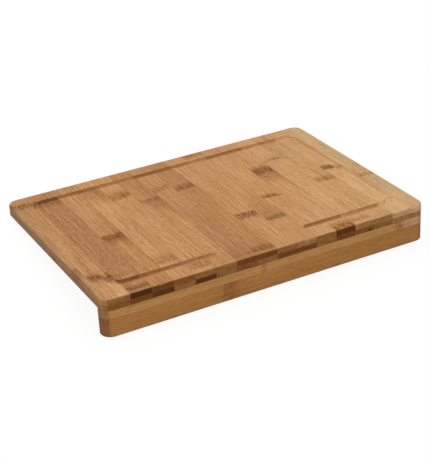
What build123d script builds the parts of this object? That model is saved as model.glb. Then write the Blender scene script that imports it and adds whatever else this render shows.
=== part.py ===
from build123d import *

import os

# Worktop-edge cutting board of laminated bamboo: a slab of two plies of strips with a juice groove,
# and a lip under its front edge that hooks over the edge of a worktop.
# Millimetres, +Z up, +Y to the back. The origin is the middle of the inner corner where the slab's
# underside meets the lip's rear face, so the top edge of a worktop's front lies along the X axis.

# Slab
board_width = 400.0
board_depth = 275.0
ply_thickness = 7.0
strip_width = 24.9
first_strip_width = 6.5
narrowest_strip = 4.0
corner_radius = 12.0
top_edge_radius = 2.0
underside_bevel = 1.2

# Lip
lip_ply_thickness = 7.0
lip_drop = 31.0
lip_seam_drop = 9.0
lip_seat_depth = 0.5
lip_edge_radius = 1.5
joint_bevel = 0.7

# Juice groove, cut by a round-nosed cutter
groove_cutter_radius = 5.0
groove_depth = 3.2
groove_side_inset = 26.0
groove_back_inset = 24.0
groove_front_inset = 26.5
groove_corner_radius = 12.0
groove_stop_gap = 120.0

# Hidden dowels that locate the lip under the slab, counted along the whole strips from the left
dowel_first_strip = 2
dowel_strip_step = 4
dowel_radius = 3.0
dowel_roof = 5.0
dowel_floor = 14.0
dowel_side_clearance = 0.05
dowel_end_clearance = 0.5

slab_thickness = 2 * ply_thickness
lip_thickness = 2 * lip_ply_thickness
left = -board_width / 2
right = board_width / 2
front = -lip_thickness
back = front + board_depth
os.makedirs("parts", exist_ok=True)


def block(x_low, x_high, y_low, y_high, z_low, z_high):
    """A plain box between two corners."""
    box = Box(x_high - x_low, y_high - y_low, z_high - z_low, align=Align.MIN)
    return Pos(x_low, y_low, z_low) * box


def blank(bottom, top):
    """The board's outline with its rounded corners, between two levels."""
    plan = Pos(0, front + board_depth / 2) * RectangleRounded(board_width, board_depth, corner_radius)
    return Pos(0, 0, bottom) * extrude(plan, top - bottom)


def upper_edges(shape):
    """The edges all round a blank's upper face."""
    return shape.faces().sort_by(Axis.Z)[-1].edges()


def lower_edges(shape):
    """The edges all round a blank's lower face."""
    return shape.faces().sort_by(Axis.Z)[0].edges()


def slab_blank(bottom, bevel):
    """The slab from one level up, with soft top edges and a small bevel round its lower face."""
    shape = fillet(upper_edges(blank(bottom, slab_thickness)), top_edge_radius)
    return chamfer(lower_edges(shape), bevel)


def lip_blank():
    """What the lip is cut from, with rounded lower edges and a small bevel where it meets the slab."""
    shape = fillet(lower_edges(blank(-lip_drop, lip_seat_depth)), lip_edge_radius)
    return chamfer(upper_edges(shape), joint_bevel)


def strip_edges():
    """The strips' side edges from left to right: an edge strip, whole strips and the other edge strip."""
    edges = [left, left + first_strip_width]
    while edges[-1] + strip_width < right - narrowest_strip:
        edges.append(edges[-1] + strip_width)
    return edges + [right]


def groove_cutter():
    """The space that the round-nosed cutter sweeps: left, back and right, and part of the front."""
    level = slab_thickness - groove_depth + groove_cutter_radius
    x_side = board_width / 2 - groove_side_inset
    y_front = front + groove_front_inset
    y_back = back - groove_back_inset
    x_stop = groove_stop_gap / 2
    route = FilletPolyline(
        (-x_stop, y_front, level),
        (-x_side, y_front, level),
        (-x_side, y_back, level),
        (x_side, y_back, level),
        (x_side, y_front, level),
        (x_stop, y_front, level),
        radius=groove_corner_radius,
    )
    start = Plane(origin=route @ 0, z_dir=route % 0)
    channel = sweep(start * Circle(groove_cutter_radius), path=route)
    for x in (-x_stop, x_stop):
        channel += Pos(x, y_front, level) * Sphere(groove_cutter_radius)
    return channel


def dowel_places():
    """The middle of each dowel in plan, in the middle of a whole strip so that no seam is drilled."""
    edges = strip_edges()
    middles = [(low + high) / 2 for low, high in zip(edges[1:], edges[2:-1])]
    return [(x, front + lip_thickness / 2) for x in middles[dowel_first_strip - 1 :: dowel_strip_step]]


def pillar(place, radius, z_low, z_high):
    """An upright round bar."""
    bar = Cylinder(radius, z_high - z_low, align=(Align.CENTER, Align.CENTER, Align.MIN))
    return Pos(place[0], place[1], z_low) * bar


def lip_rear_rounding():
    """What is planed off the lip's lower rear edge to round it."""
    r = lip_edge_radius
    corner = block(left, right, -r, 0, -lip_drop, r - lip_drop)
    bar = Pos(0, -r, r - lip_drop) * Rot(0, 90, 0) * Cylinder(r, board_width)
    return corner - bar


def save(shape, name):
    """Writes one piece's file."""
    export_step(shape, f"parts/{name}.step")


# The glued board as it is machined: the slab runs over the lip, which sits in a shallow planed seat. Both
# have their edges eased where they meet, so a fine V runs along the joint.
dowel_top = slab_thickness - dowel_roof
dowel_bottom = dowel_floor - lip_drop
behind_lip = block(left, right, 0, back, 0, slab_thickness)
over_lip = block(left, right, front, 0, lip_seat_depth, slab_thickness)
lip_room = block(left, right, front, 0, -lip_drop, lip_seat_depth)
slab = (slab_blank(0, underside_bevel) & behind_lip) + (slab_blank(lip_seat_depth, joint_bevel) & over_lip)
slab -= groove_cutter()
lip = (lip_blank() & lip_room) - lip_rear_rounding()
for place in dowel_places():
    hole = pillar(
        place,
        dowel_radius + dowel_side_clearance,
        dowel_bottom - dowel_end_clearance,
        dowel_top + dowel_end_clearance,
    )
    slab -= hole
    lip -= hole

# Slab strips: the same columns in both plies, with the bamboo's fibres from front to back. The panel was
# sawn to width, so the two edge strips are what was left of theirs.
columns = strip_edges()
whole_strips = [f"strip_{number:02d}" for number in range(1, len(columns) - 2)]
column_names = ["left_edge_strip", *whole_strips, "right_edge_strip"]
for name, x_low, x_high in zip(column_names, columns, columns[1:]):
    lower = block(x_low, x_high, front, back, 0, ply_thickness)
    upper = block(x_low, x_high, front, back, ply_thickness, slab_thickness)
    save((slab & lower).solid(), f"bottom_{name}")
    save((slab & upper).solid(), f"top_{name}")

# Lip strips: two plies of two strips, with the fibres from side to side.
lip_plies = {"front": (front, front + lip_ply_thickness), "rear": (front + lip_ply_thickness, 0)}
lip_levels = {"upper": (-lip_seam_drop, lip_seat_depth), "lower": (-lip_drop, -lip_seam_drop)}
for ply, (y_low, y_high) in lip_plies.items():
    for level, (z_low, z_high) in lip_levels.items():
        room = block(left, right, y_low, y_high, z_low, z_high)
        save((lip & room).solid(), f"lip_{ply}_{level}_strip")

# Dowels, cut square from rod
dowels = [pillar(place, dowel_radius, dowel_bottom, dowel_top).solid() for place in dowel_places()]
save(Compound(children=dowels), "lip_dowels")
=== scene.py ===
import bpy
import math
import random
from mathutils import Matrix, Vector


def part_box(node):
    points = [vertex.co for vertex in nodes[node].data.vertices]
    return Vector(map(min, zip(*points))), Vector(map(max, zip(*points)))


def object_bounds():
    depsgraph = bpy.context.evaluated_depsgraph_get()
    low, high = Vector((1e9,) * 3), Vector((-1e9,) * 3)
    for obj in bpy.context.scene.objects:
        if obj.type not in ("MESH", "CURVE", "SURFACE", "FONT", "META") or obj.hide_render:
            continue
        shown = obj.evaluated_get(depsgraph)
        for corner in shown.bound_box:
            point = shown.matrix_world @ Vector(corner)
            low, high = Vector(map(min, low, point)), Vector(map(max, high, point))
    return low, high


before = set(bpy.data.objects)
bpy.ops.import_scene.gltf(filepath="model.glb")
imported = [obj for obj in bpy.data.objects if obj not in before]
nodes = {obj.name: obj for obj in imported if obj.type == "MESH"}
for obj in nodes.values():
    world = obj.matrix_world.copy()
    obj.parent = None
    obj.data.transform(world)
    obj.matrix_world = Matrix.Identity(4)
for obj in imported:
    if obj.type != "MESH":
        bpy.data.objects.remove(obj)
cad_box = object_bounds()
scene = bpy.context.scene
scene.view_settings.view_transform = "Standard"


# Lower ply of the slab
# Seventeen strips of steamed bamboo lie side by side with their fibres from front to back. They are planed,
# glued edge to edge and pressed into a panel, so their ends, underside and outer sides show.

def feed(tree, made, inputs):
    """Fills a node's inputs; each takes a plain value or the socket that feeds it."""
    for socket, value in dict(inputs).items():
        if isinstance(value, bpy.types.NodeSocket):
            tree.links.new(value, made.inputs[socket])
        else:
            made.inputs[socket].default_value = value


def add_node(tree, kind, inputs=(), **settings):
    """A new node in a tree, with its settings and inputs."""
    made = tree.nodes.new(kind)
    for name, value in settings.items():
        setattr(made, name, value)
    feed(tree, made, inputs)
    return made


def maths(tree, operation, *values):
    """One sum on plain numbers."""
    return add_node(tree, "ShaderNodeMath", enumerate(values), operation=operation).outputs[0]


def vector_maths(tree, operation, *values):
    """One sum on points."""
    return add_node(tree, "ShaderNodeVectorMath", enumerate(values), operation=operation).outputs[0]


def distance_from(tree, point, place):
    """How far a point is from a place."""
    away = vector_maths(tree, "SUBTRACT", point, place)
    return add_node(tree, "ShaderNodeVectorMath", {0: away}, operation="LENGTH").outputs["Value"]


def between(tree, value, low, high, start=0.0, end=1.0):
    """A soft step from start to end as the value goes from low to high."""
    inputs = {"Value": value, "From Min": low, "From Max": high, "To Min": start, "To Max": end}
    return add_node(tree, "ShaderNodeMapRange", inputs, interpolation_type="SMOOTHSTEP").outputs[0]


def mix_colours(tree, share, first, second):
    """Two colours mixed by a share."""
    inputs = {"Factor": share, 6: first, 7: second}
    return add_node(tree, "ShaderNodeMix", inputs, data_type="RGBA").outputs[2]


def mix_values(tree, share, first, second):
    """Two plain numbers mixed by a share."""
    return add_node(tree, "ShaderNodeMix", {0: share, 2: first, 3: second}, data_type="FLOAT").outputs[0]


def grain_noise(tree, point, lump, detail=2.0, roughness=0.5):
    """Noise with lumps of a size in millimetres: across the strip, along its fibres and through it."""
    squeezed = vector_maths(tree, "MULTIPLY", point, [1 / size for size in lump])
    inputs = {"Vector": squeezed, "Scale": 1.0, "Detail": detail, "Roughness": roughness}
    return add_node(tree, "ShaderNodeTexNoise", inputs).outputs[0]


def new_group(name, inputs, outputs):
    """An empty shader node group; gives the tree, its inputs and what its outputs take."""
    tree = bpy.data.node_groups.new(name, "ShaderNodeTree")
    for socket, kind in inputs.items():
        tree.interface.new_socket(socket, in_out="INPUT", socket_type="NodeSocket" + kind)
    for socket, kind in outputs.items():
        tree.interface.new_socket(socket, in_out="OUTPUT", socket_type="NodeSocket" + kind)
    return tree, tree.nodes.new("NodeGroupInput").outputs, tree.nodes.new("NodeGroupOutput").inputs


def fibres_group():
    """Bamboo along the fibres: soft clouds, patches of fine streaks with short flecks, and the dark dashes
    of the vessel bundles."""
    seed_shift = (17.3, 131.7, 9.1)
    cloud_lump = (22.0, 60.0, 22.0)
    cloud_gain = 0.5
    cloud_level = 0.29
    streak_lump = (1.05, 80.0, 1.05)
    streak_gain = 2.4
    fleck_lump = (1.2, 6.0, 1.2)
    fleck_gain = 1.3
    line_level = -1.85
    patch_lump = (7.0, 60.0, 7.0)
    patch_edge = (0.35, 0.65)
    patch_gain = (0.5, 1.5)
    dash_lump = (0.9, 12.0, 0.9)
    dash_edge = (0.54, 0.68)
    dash_gain = -0.42
    dark_share = (0.74, 0.67, 0.57)
    pale_share = (1.26, 1.33, 1.43)
    sheen_edge = (0.3, 0.7)
    sheen_roughness = (0.6, 0.5)
    tree, given, result = new_group(
        "Bamboo fibres",
        {"Point": "Vector", "Seed": "Float", "Tone": "Color", "Streak": "Float"},
        {"Colour": "Color", "Height": "Float", "Roughness": "Float"},
    )
    shift = vector_maths(tree, "MULTIPLY", given["Seed"], seed_shift)
    point = vector_maths(tree, "ADD", given["Point"], shift)
    clouds = grain_noise(tree, point, cloud_lump)
    streaks = grain_noise(tree, point, streak_lump, roughness=0.6)
    flecks = grain_noise(tree, point, fleck_lump, roughness=0.6)
    dashes = between(tree, grain_noise(tree, point, dash_lump), *dash_edge)
    patches = between(tree, grain_noise(tree, point, patch_lump), *patch_edge, *patch_gain)
    lines = maths(tree, "MULTIPLY_ADD", streaks, streak_gain, line_level)
    lines = maths(tree, "MULTIPLY_ADD", flecks, fleck_gain, lines)
    lines = maths(tree, "MULTIPLY", lines, patches)
    light = maths(tree, "MULTIPLY_ADD", clouds, cloud_gain, cloud_level)
    light = maths(tree, "MULTIPLY_ADD", lines, given["Streak"], light)
    light = maths(tree, "MULTIPLY_ADD", dashes, dash_gain, light)
    deep = vector_maths(tree, "MULTIPLY", given["Tone"], dark_share)
    pale = vector_maths(tree, "MULTIPLY", given["Tone"], pale_share)
    tree.links.new(mix_colours(tree, light, deep, pale), result["Colour"])
    tree.links.new(maths(tree, "SUBTRACT", streaks, dashes), result["Height"])
    tree.links.new(between(tree, streaks, *sheen_edge, *sheen_roughness), result["Roughness"])
    return tree


def knuckle_group():
    """The mark of one joint of the bamboo stem: a mottled brown stain, with a thin beaded ring along its
    sharper edge. It may slant across the strip, or lean so that it fades towards one side."""
    seed_shift = (23.9, 0.0, 11.3)
    strip_width = 25.0
    wander_lump = (6.0, 400.0, 6.0)
    wander_reach = 7.0
    sharp_edge = (-0.08, 0.1)
    soft_edge = (0.3, 1.0)
    mottle_lump = (2.2, 4.5, 2.2)
    mottle_edge = (0.38, 0.6)
    mottle_gain = (0.5, 1.15)
    ring_edge = (0.5, 2.4)
    bead_lump = (2.0, 12.0, 2.0)
    bead_edge = (0.35, 0.6)
    bead_gain = (0.3, 1.0)
    tree, given, result = new_group(
        "Bamboo knuckle",
        {
            "Point": "Vector",
            "Seed": "Float",
            "Place": "Float",
            "Reach": "Float",
            "Stain": "Float",
            "Ring": "Float",
            "Slant": "Float",
            "Lean": "Float",
        },
        {"Mask": "Float"},
    )
    shift = vector_maths(tree, "MULTIPLY", given["Seed"], seed_shift)
    point = vector_maths(tree, "ADD", given["Point"], shift)
    parts = add_node(tree, "ShaderNodeSeparateXYZ", {0: given["Point"]}).outputs
    wander = grain_noise(tree, point, wander_lump, detail=3.0, roughness=0.65)
    distance = maths(tree, "SUBTRACT", parts["Y"], given["Place"])
    distance = maths(tree, "SUBTRACT", distance, maths(tree, "MULTIPLY", parts["X"], given["Slant"]))
    distance = maths(tree, "SUBTRACT", distance, wander_reach / 2)
    distance = maths(tree, "MULTIPLY_ADD", wander, wander_reach, distance)
    share = maths(tree, "DIVIDE", distance, given["Reach"])
    rise = between(tree, share, *sharp_edge)
    fall = between(tree, share, *soft_edge, 1.0, 0.0)
    mottle = between(tree, grain_noise(tree, point, mottle_lump, detail=1.0), *mottle_edge, *mottle_gain)
    stain = maths(tree, "MULTIPLY", maths(tree, "MULTIPLY", rise, fall), mottle)
    stain = maths(tree, "MULTIPLY", stain, given["Stain"])
    side = maths(tree, "MULTIPLY_ADD", parts["X"], 2 / strip_width, -1.0)
    weight = between(tree, maths(tree, "MULTIPLY_ADD", side, given["Lean"], 1.0), 0.0, 1.0)
    thin = between(tree, maths(tree, "ABSOLUTE", distance), *ring_edge, 1.0, 0.0)
    beads = between(tree, grain_noise(tree, point, bead_lump), *bead_edge, *bead_gain)
    ring = maths(tree, "MULTIPLY", maths(tree, "MULTIPLY", thin, beads), given["Ring"])
    mask = maths(tree, "MAXIMUM", maths(tree, "MULTIPLY", stain, weight), ring)
    tree.links.new(mask, result["Mask"])
    return tree


def end_grain_group():
    """Bamboo cut across the fibres: dark dots of vessel bundles in patches and layers of the pith."""
    seed_shift = (7.9, 0.0, 5.3)
    dot_spread = (1.15, 0.004, 1.35)
    dot_edge = (0.12, 0.42)
    dot_gain = 0.35
    patch_lump = (7.0, 300.0, 3.0)
    patch_gain = 1.4
    layer_lump = (16.0, 300.0, 1.7)
    layer_gain = 1.4
    level = -0.62
    tree, given, result = new_group(
        "Bamboo end grain",
        {"Point": "Vector", "Seed": "Float", "Tone": "Color"},
        {"Colour": "Color"},
    )
    shift = vector_maths(tree, "MULTIPLY", given["Seed"], seed_shift)
    point = vector_maths(tree, "ADD", given["Point"], shift)
    spread = vector_maths(tree, "MULTIPLY", point, dot_spread)
    dots = add_node(tree, "ShaderNodeTexVoronoi", {"Vector": spread, "Scale": 1.0, "Randomness": 0.85})
    pith = between(tree, dots.outputs["Distance"], *dot_edge)
    patches = grain_noise(tree, point, patch_lump, detail=3.0, roughness=0.6)
    layers = grain_noise(tree, point, layer_lump, detail=3.0, roughness=0.6)
    gain = maths(tree, "MULTIPLY_ADD", pith, dot_gain, level)
    gain = maths(tree, "MULTIPLY_ADD", patches, patch_gain, gain)
    gain = maths(tree, "MULTIPLY_ADD", layers, layer_gain, gain)
    tree.links.new(vector_maths(tree, "MULTIPLY", given["Tone"], gain), result["Colour"])
    return tree


def glue_line_group():
    """The hairlines of glue along both long edges of a strip and between the two plies."""
    tree, given, result = new_group(
        "Glue line",
        {"Point": "Vector", "Strip Width": "Float", "Line Width": "Float"},
        {"Mask": "Float"},
    )
    parts = add_node(tree, "ShaderNodeSeparateXYZ", {0: given["Point"]}).outputs
    other = maths(tree, "SUBTRACT", given["Strip Width"], parts["X"])
    nearest = maths(tree, "MINIMUM", parts["X"], other)
    nearest = maths(tree, "MINIMUM", nearest, maths(tree, "ABSOLUTE", parts["Z"]))
    gap = maths(tree, "DIVIDE", nearest, given["Line Width"])
    tree.links.new(between(tree, gap, 0.0, 1.0, 1.0, 0.0), result["Mask"])
    return tree


fibres = fibres_group()
knuckles = knuckle_group()
end_grain = end_grain_group()
glue_line = glue_line_group()

# Sizes on a strip in millimetres
per_metre = 1000.0
end_reach = 14.0
groove_start = 18.0
rim_end = 34.0
glue_width = 0.45
pit_half_width = 2.8
pit_half_height = 1.4
pit_scale = (1 / pit_half_width, 0.0, 1 / pit_half_height)
pit_edge = (0.6, 1.1)

# Strength and colour of what shows on it
front_streaks = 1.2
back_streaks = 0.8
rim_streaks = 0.55
knuckle_hue = (0.45, 0.31, 0.07)
groove_slant = (0.08, 0.55)
groove_cut_share = 0.66
# Near-black painted shade for a pit in a strip's front end, standing in for the hollow that the shape lacks
painted_pit_shade = (0.05, 0.022, 0.008, 1.0)
glue_colour = (0.17, 0.085, 0.03, 1.0)
glue_share = 0.35
end_roughness = 0.75
oil_shine = 0.1
grain_bump = 0.25
grain_depth = 0.0002


def paint(red, green, blue):
    """A colour as a paint chart gives it, from 0 to 255, in the light values that a shader takes."""
    values = [channel / 255 for channel in (red, green, blue)]
    linear = [v / 12.92 if v <= 0.04045 else ((v + 0.055) / 1.055) ** 2.4 for v in values]
    return (*linear, 1.0)


def knuckle(place, reach, stain, ring=0.3, slant=0.0, lean=0.0):
    """One knuckle: the place of its sharper edge along the strip and how far its stain goes from there,
    back or front, in millimetres; then how strong stain and ring are, its slant, and the side that it
    leans to."""
    return {"Place": place, "Reach": reach, "Stain": stain, "Ring": ring, "Slant": slant, "Lean": lean}


def growth(first_tone, last_tone, end_tone, streak, marks, change=(0.0, 1.0), groove_tone=None, pit=None):
    """How one strip grew: the tones at its two ends and across its fibres, how strong its streaks are, its
    knuckles, the share of its length in which the tone changes, the tone across its fibres in the groove
    where that is another, and the place of a pit in its front end."""
    return {
        "first": first_tone,
        "last": last_tone,
        "end": end_tone,
        "streak": streak,
        "marks": marks,
        "change": change,
        "groove": groove_tone or end_tone,
        "pit": pit,
    }


def bamboo_material(name, seed, turn, start, length, width, look, end_slant):
    """Bamboo of one strip. The turn brings its width, fibres and thickness to X, Y and Z, and the end slant
    says how far a face leans towards the fibres where end grain begins and where it is full."""
    streak = look["streak"]
    change = [share * length for share in look["change"]]
    material = bpy.data.materials.new(name)
    material.use_nodes = True
    tree = material.node_tree
    shader = tree.nodes["Principled BSDF"]
    place = add_node(tree, "ShaderNodeTexCoord").outputs
    turned = {"Vector": place["Object"], "Location": start, "Rotation": turn, "Scale": [per_metre] * 3}
    point = add_node(tree, "ShaderNodeMapping", turned).outputs[0]
    facing = add_node(tree, "ShaderNodeMapping", {"Vector": place["Normal"], "Rotation": turn}).outputs[0]
    along = add_node(tree, "ShaderNodeSeparateXYZ", {0: point}).outputs["Y"]
    slope = add_node(tree, "ShaderNodeSeparateXYZ", {0: facing}).outputs["Y"]

    # Along the fibres, with calmer streaks near the front end
    tone = mix_colours(tree, between(tree, along, *change), look["first"], look["last"])
    strength = between(tree, along, 0.0, length, front_streaks * streak, back_streaks * streak)
    rim = between(tree, along, groove_start, rim_end, rim_streaks, 1.0)
    strength = maths(tree, "MULTIPLY", strength, rim)
    face = add_node(tree, "ShaderNodeGroup", node_tree=fibres)
    feed(tree, face, {"Point": point, "Seed": seed, "Tone": tone, "Streak": strength})
    colour = face.outputs["Colour"]
    for count, mark in enumerate(look["marks"]):
        stain = add_node(tree, "ShaderNodeGroup", node_tree=knuckles)
        feed(tree, stain, {"Point": point, "Seed": seed + count, **mark})
        stained = vector_maths(tree, "MULTIPLY", colour, knuckle_hue)
        colour = mix_colours(tree, stain.outputs["Mask"], colour, stained)

    # Across the fibres: fully at the strip's ends, and less in the groove, which the cutter leaves smooth
    nearest_end = maths(tree, "MINIMUM", along, maths(tree, "SUBTRACT", length, along))
    in_groove = between(tree, nearest_end, end_reach, groove_start)
    cut_tone = mix_colours(tree, in_groove, look["end"], look["groove"])
    cut = add_node(tree, "ShaderNodeGroup", node_tree=end_grain)
    feed(tree, cut, {"Point": point, "Seed": seed, "Tone": cut_tone})
    cut_colour = cut.outputs["Colour"]
    # The pit is not cut into the shape; its shade is painted here as a dark spot, which is painted shade
    if look["pit"]:
        flattened = vector_maths(tree, "MULTIPLY", point, pit_scale)
        pit_place = [part * scale for part, scale in zip(look["pit"], pit_scale)]
        pit_shade_mask = between(tree, distance_from(tree, flattened, pit_place), *pit_edge, 1.0, 0.0)
        cut_colour = mix_colours(tree, pit_shade_mask, cut_colour, painted_pit_shade)
    steep = maths(tree, "ABSOLUTE", slope)
    groove_cut = between(tree, steep, *groove_slant, 0.0, groove_cut_share)
    across_fibres = mix_values(tree, in_groove, between(tree, steep, *end_slant), groove_cut)
    colour = mix_colours(tree, across_fibres, colour, cut_colour)

    # Glue lines, and the finish
    glue = add_node(tree, "ShaderNodeGroup", node_tree=glue_line)
    feed(tree, glue, {"Point": point, "Strip Width": width, "Line Width": glue_width})
    glued = maths(tree, "MULTIPLY", glue.outputs["Mask"], glue_share)
    colour = mix_colours(tree, glued, colour, glue_colour)
    roughness = mix_values(tree, across_fibres, face.outputs["Roughness"], end_roughness)
    bump = {"Strength": grain_bump, "Distance": grain_depth, "Height": face.outputs["Height"]}
    feed(tree, shader, {"Base Color": colour, "Roughness": roughness, "Specular IOR Level": oil_shine})
    tree.links.new(add_node(tree, "ShaderNodeBump", bump).outputs[0], shader.inputs["Normal"])
    return material


oat = paint(195, 148, 100)
tan = paint(188, 138, 90)
honey = paint(180, 132, 85)
caramel = paint(173, 122, 75)
toffee = paint(167, 117, 72)
end_biscuit = paint(155, 111, 66)
end_nut = paint(141, 95, 51)
end_umber = paint(127, 79, 36)
end_dark = paint(112, 66, 26)
end_bark = paint(90, 50, 17)

whole_strips = 15
whole_columns = [f"strip_{count:02d}" for count in range(1, whole_strips + 1)]
columns = ["left_edge_strip", *whole_columns, "right_edge_strip"]
front_to_back = (0.0, 0.0, 0.0)
slab_end_slant = (0.45, 0.9)


def dress_slab_strip(ply, column, seed, look):
    """Gives one strip of the slab its bamboo, measured from its front left corner and the ply joint."""
    name = f"{ply}_{column}"
    low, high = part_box(name)
    front = cad_box[0].y
    ply_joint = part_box(f"top_{column}")[0].z
    start = [-low.x * per_metre, -front * per_metre, -ply_joint * per_metre]
    length = (cad_box[1].y - front) * per_metre
    width = (high.x - low.x) * per_metre
    material = bamboo_material(name, seed, front_to_back, start, length, width, look, slab_end_slant)
    nodes[name].material_slots[0].material = material


# Tone and end tone, from left to right
lower_strips = [
    (toffee, end_nut),
    (tan, end_umber),
    (honey, end_dark),
    (tan, end_bark),
    (caramel, end_nut),
    (tan, end_bark),
    (oat, end_nut),
    (tan, end_umber),
    (honey, end_nut),
    (caramel, end_dark),
    (tan, end_dark),
    (honey, end_nut),
    (tan, end_dark),
    (oat, end_umber),
    (tan, end_nut),
    (oat, end_biscuit),
    (oat, end_biscuit),
]
lower_seed = 40.0
lower_streak = 1.0
pits = {"strip_13": (19.7, 0.0, -4.8)}

# The lower ply's knuckles are drawn by lot, at the usual distances of a bamboo stem's joints
first_knuckle = (20, 190)
last_knuckle = 270
knuckle_spacing = (150, 230)
knuckle_reaches = [-18, -12, 12, 22]
knuckle_stains = (0.3, 0.9)
pick = random.Random(5)
for order, (column, (tone, end_tone)) in enumerate(zip(columns, lower_strips)):
    marks = []
    place = pick.uniform(*first_knuckle)
    while place < last_knuckle:
        reach = pick.choice(knuckle_reaches)
        marks.append(knuckle(place, reach, pick.uniform(*knuckle_stains)))
        place += pick.uniform(*knuckle_spacing)
    look = growth(tone, tone, end_tone, lower_streak, marks, pit=pits.get(column))
    dress_slab_strip("bottom", column, lower_seed + order, look)


# Upper ply of the slab
# The cutting face, seventeen strips over those of the lower ply. Each strip has its own shade and the
# knuckles of its own stem, and the panel is sanded flush and oiled after the juice groove is cut.

straw = paint(205, 164, 115)
reed = paint(197, 159, 113)
flax = paint(191, 152, 107)
wheat = paint(174, 130, 85)
end_cream = paint(207, 166, 126)
end_pale = paint(196, 150, 106)
end_soot = paint(77, 42, 14)

# From left to right: front, back and end tone, strength of the streaks, the knuckles from the front face,
# and for some the share of the length in which the tone changes and the tone in the groove
upper_strips = [
    growth(honey, wheat, end_biscuit, 1.2, [
        knuckle(79, -32, 0.6, 0.1),
        knuckle(262, -22, 0.6),
    ], change=(0.0, 0.3)),
    growth(oat, honey, end_nut, 1.4, [
        knuckle(58, -19, 0.75, 0.15, slant=-0.35),
        knuckle(258, -20, 0.85),
        knuckle(64, -30, 0.4, 0.0, slant=-0.3),
    ], change=(0.0, 0.3)),
    growth(toffee, toffee, end_soot, 2.0, [
        knuckle(255, -28, 0.75, 0.1),
        knuckle(5, 12, 0.9),
        knuckle(38, 14, 0.25, 0.0),
    ], groove_tone=end_bark),
    growth(caramel, honey, end_dark, 1.5, [
        knuckle(131, -17, 1.0, 0.2),
        knuckle(123, -22, 0.6, 0.3),
    ], groove_tone=end_umber),
    growth(tan, tan, end_umber, 1.05, [
        knuckle(38, 26, 0.6, 0.1),
        knuckle(256, -62, 0.5, 0.0),
    ]),
    growth(tan, tan, end_nut, 1.0, [
        knuckle(206, 30, 0.75, 0.3),
        knuckle(8, 27, 0.45, 0.0),
    ]),
    growth(tan, caramel, end_nut, 1.1, [
        knuckle(189, -16, 0.7, 0.2, lean=0.4),
        knuckle(178, -34, 0.35, 0.0, lean=1.0),
        knuckle(-4, 90, 0.2, 0.0),
    ], groove_tone=end_biscuit),
    growth(toffee, honey, end_dark, 1.0, [
        knuckle(196, 18, 0.45, 0.1, slant=0.3),
        knuckle(7, 10, 0.3),
    ]),
    growth(caramel, caramel, end_dark, 0.95, [
        knuckle(185, 20, 0.7, 0.2, slant=0.15),
        knuckle(5, 17, 0.75),
    ], groove_tone=end_umber),
    growth(tan, tan, end_nut, 1.1, [
        knuckle(95, -21, 1.0, 0.4),
    ]),
    growth(tan, tan, end_biscuit, 0.55, [
        knuckle(62, 14, 0.8, 0.3),
        knuckle(66, 38, 0.25, 0.0),
        knuckle(56, 120, 0.2, 0.0),
        knuckle(277, -20, 0.6),
    ]),
    growth(oat, tan, end_nut, 1.1, [
        knuckle(112.5, 12, 1.0, 0.8, lean=-1.0),
    ], change=(0.0, 0.35), groove_tone=end_umber),
    growth(oat, tan, end_bark, 0.7, [
        knuckle(195, -15, 0.5, 0.1),
        knuckle(188, -20, 0.8, 0.3),
        knuckle(186, -54, 0.7, 0.0),
        knuckle(-3, 27, 1.0),
    ], groove_tone=end_umber),
    growth(oat, oat, end_biscuit, 0.7, [
        knuckle(200, 10, 0.5, 0.8, lean=1.0),
        knuckle(7, 11, 0.5),
    ], groove_tone=toffee),
    growth(oat, oat, end_biscuit, 1.0, [
        knuckle(113.5, 20, 0.6, 0.3),
        knuckle(262, -110, 0.25, 0.0),
    ]),
    growth(straw, oat, end_pale, 0.6, [
        knuckle(140, 15, 1.8, 0.6, lean=-1.0),
    ]),
    growth(flax, reed, end_cream, 0.8, [
        knuckle(100, 10, 0.6, 0.4),
    ]),
]
upper_seed = 3.0
for order, (column, look) in enumerate(zip(columns, upper_strips)):
    dress_slab_strip("top", column, upper_seed + order, look)


# Lip
# Two plies of two bamboo strips with their fibres from side to side, glued into a shallow seat under the
# front edge. The narrow upper strip is golden and the broad lower one darker.

fawn = paint(204, 156, 110)
gold = paint(194, 141, 81)
amber = paint(178, 123, 66)
end_clay = paint(150, 108, 71)
end_cocoa = paint(134, 90, 55)

side_to_side = (math.radians(90), 0.0, math.radians(90))
lip_end_slant = (0.2, 0.65)
lip_strips = {
    "lip_front_upper_strip": growth(gold, fawn, end_clay, 0.5, [
        knuckle(186, 8, 0.4, 0.3),
        knuckle(360, 14, 0.6, 0.3),
    ], change=(0.87, 0.96)),
    "lip_front_lower_strip": growth(amber, amber, end_cocoa, 0.45, [
        knuckle(138, 28, 0.45, 0.1),
    ]),
    "lip_rear_upper_strip": growth(gold, gold, end_clay, 0.5, [
        knuckle(96, -14, 0.6),
        knuckle(310, 12, 0.4),
    ]),
    "lip_rear_lower_strip": growth(gold, amber, end_cocoa, 0.5, [
        knuckle(232, 16, 0.7),
    ]),
}
lip_seed = 80.0
for order, (name, look) in enumerate(lip_strips.items()):
    low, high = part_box(name)
    left = cad_box[0].x
    ply_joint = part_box("lip_rear_upper_strip")[0].y
    start = [-low.z * per_metre, -left * per_metre, -ply_joint * per_metre]
    length = (cad_box[1].x - left) * per_metre
    width = (high.z - low.z) * per_metre
    material = bamboo_material(
        name, lip_seed + order, side_to_side, start, length, width, look, lip_end_slant
    )
    nodes[name].material_slots[0].material = material


# Dowels
# Four short pins of plain turned wood stand in blind holes in the lip and the slab, with glue round them.
# They are closed in on all sides.

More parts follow.
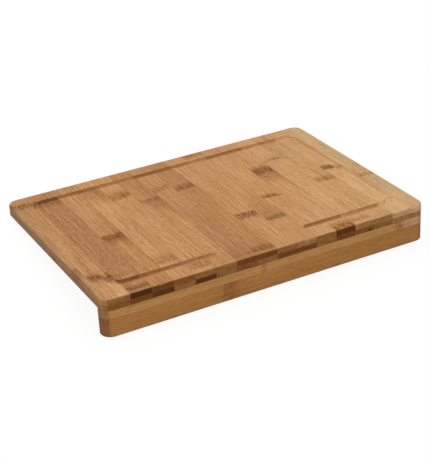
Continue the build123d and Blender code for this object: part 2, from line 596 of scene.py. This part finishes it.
dowel_tone = paint(203, 178, 140)
dowel_end_tone = paint(176, 146, 106)
dowel_streak = 0.5
dowel_seed = 90.0
upright = (math.radians(-90), 0.0, 0.0)
low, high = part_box("lip_dowels")
dowel_length = (high.z - low.z) * per_metre
dowel_span = (high.x - low.x) * per_metre
dowel_start = [-low.x * per_metre, -low.z * per_metre, 0.0]
dowel_look = growth(dowel_tone, dowel_tone, dowel_end_tone, dowel_streak, [])
nodes["lip_dowels"].material_slots[0].material = bamboo_material(
    "lip_dowels", dowel_seed, upright, dowel_start, dowel_length, dowel_span, dowel_look, lip_end_slant
)


# Studio floor
# A plain white sheet. The board stands on its lip and its back edge, so the sheet is tilted in the board's
# frame. It shows a faint shadow close to the board, and lets the light of a lamp under it through.

def seen_ray(tree):
    """One for the rays that show the white ground: from the camera, by a reflection or through glass."""
    path = add_node(tree, "ShaderNodeLightPath").outputs
    mirrored = maths(tree, "MAXIMUM", path["Is Glossy Ray"], path["Is Transmission Ray"])
    return maths(tree, "MAXIMUM", path["Is Camera Ray"], mirrored)


pure_white = (1.0, 1.0, 1.0, 1.0)
sheet_grey = (0.55, 0.55, 0.55, 1.0)
floor_size = 3.0
floor_shadow_share = 0.08
shadow_start = 0.25
shadow_end = 0.65
board_middle = (0.0, 0.12, 0.0)
slab_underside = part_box("bottom_strip_08")[0].z
lip_underside = cad_box[0].z
back_edge = cad_box[1].y
tilt = math.atan2(slab_underside - lip_underside, back_edge)

bpy.ops.mesh.primitive_plane_add(size=floor_size)
floor = bpy.context.object
floor.name = "studio_floor"
floor.data.transform(Matrix.Translation((0, 0, lip_underside)) @ Matrix.Rotation(tilt, 4, "X"))
sheet = bpy.data.materials.new("studio_floor")
sheet.use_nodes = True
tree = sheet.node_tree
tree.nodes.remove(tree.nodes["Principled BSDF"])
matt = add_node(tree, "ShaderNodeBsdfDiffuse", {"Color": sheet_grey}).outputs[0]
shaded = add_node(tree, "ShaderNodeBsdfDiffuse", {"Color": pure_white}).outputs[0]
white = add_node(tree, "ShaderNodeEmission", {"Color": pure_white, "Strength": 1.0}).outputs[0]
clear = add_node(tree, "ShaderNodeBsdfTransparent").outputs[0]
spot = add_node(tree, "ShaderNodeTexCoord").outputs["Object"]
away = distance_from(tree, spot, board_middle)
shade = between(tree, away, shadow_start, shadow_end, floor_shadow_share, 0.0)
shown = add_node(tree, "ShaderNodeMixShader", {0: shade, 1: white, 2: shaded}).outputs[0]
above = add_node(tree, "ShaderNodeMixShader", {0: seen_ray(tree), 1: matt, 2: shown}).outputs[0]
below = add_node(tree, "ShaderNodeNewGeometry").outputs["Backfacing"]
lamp_ray = add_node(tree, "ShaderNodeLightPath").outputs["Is Shadow Ray"]
passed = maths(tree, "MAXIMUM", below, lamp_ray)
surface = add_node(tree, "ShaderNodeMixShader", {0: passed, 1: above, 2: clear}).outputs[0]
tree.links.new(surface, tree.nodes["Material Output"].inputs["Surface"])
floor.data.materials.append(sheet)


# Studio light
# A broad soft panel over the board, a weaker one at the front left, another under the sheet for views from
# below, and an even white room.

def soft_light(name, place, size, power):
    """A square lamp panel at a place, turned to the middle of the board."""
    lamp = bpy.data.lights.new(name, "AREA")
    lamp.shape = "SQUARE"
    lamp.size = size
    lamp.energy = power
    panel = bpy.data.objects.new(name, lamp)
    panel.location = place
    panel.rotation_euler = (Vector(board_middle) - Vector(place)).to_track_quat("-Z", "Y").to_euler()
    scene.collection.objects.link(panel)


soft_light("overhead_panel", place=(0.0, 0.2, 1.6), size=1.8, power=22.9)
soft_light("front_panel", place=(-1.05, -1.5, 0.6), size=1.0, power=9.5)
soft_light("under_panel", place=(0.0, 0.2, -1.2), size=1.8, power=12.0)

room_level = 0.32
room = bpy.data.worlds.new("white_room")
scene.world = room
room.use_nodes = True
tree = room.node_tree
level = between(tree, seen_ray(tree), 0.0, 1.0, room_level, 1.0)
feed(tree, tree.nodes["Background"], {"Color": pure_white, "Strength": level})


# Camera
# A long lens at the photograph's place, in front of the board's left half and well above it. Its place,
# angles and focal length were fitted to the board's outline and seams.

camera_place = (-0.6112, -1.0764, 0.6724)
camera_azimuth = math.radians(-27.071)
camera_elevation = math.radians(27.369)
camera_roll = math.radians(3.124)
focal_length = 100.92
sensor_width = 36.0

level_ray = math.cos(camera_elevation)
backward = Vector((
    math.sin(camera_azimuth) * level_ray,
    -math.cos(camera_azimuth) * level_ray,
    math.sin(camera_elevation),
))
rightward = Vector((0, 0, 1)).cross(backward).normalized()
upward = backward.cross(rightward)
level_view = Matrix((rightward, upward, backward)).transposed().to_4x4()
rolled_view = level_view @ Matrix.Rotation(-camera_roll, 4, "Z")
lens = bpy.data.cameras.new("camera")
lens.lens = focal_length
lens.sensor_width = sensor_width
camera = bpy.data.objects.new("camera", lens)
camera.matrix_world = Matrix.Translation(camera_place) @ rolled_view
scene.collection.objects.link(camera)
scene.camera = camera
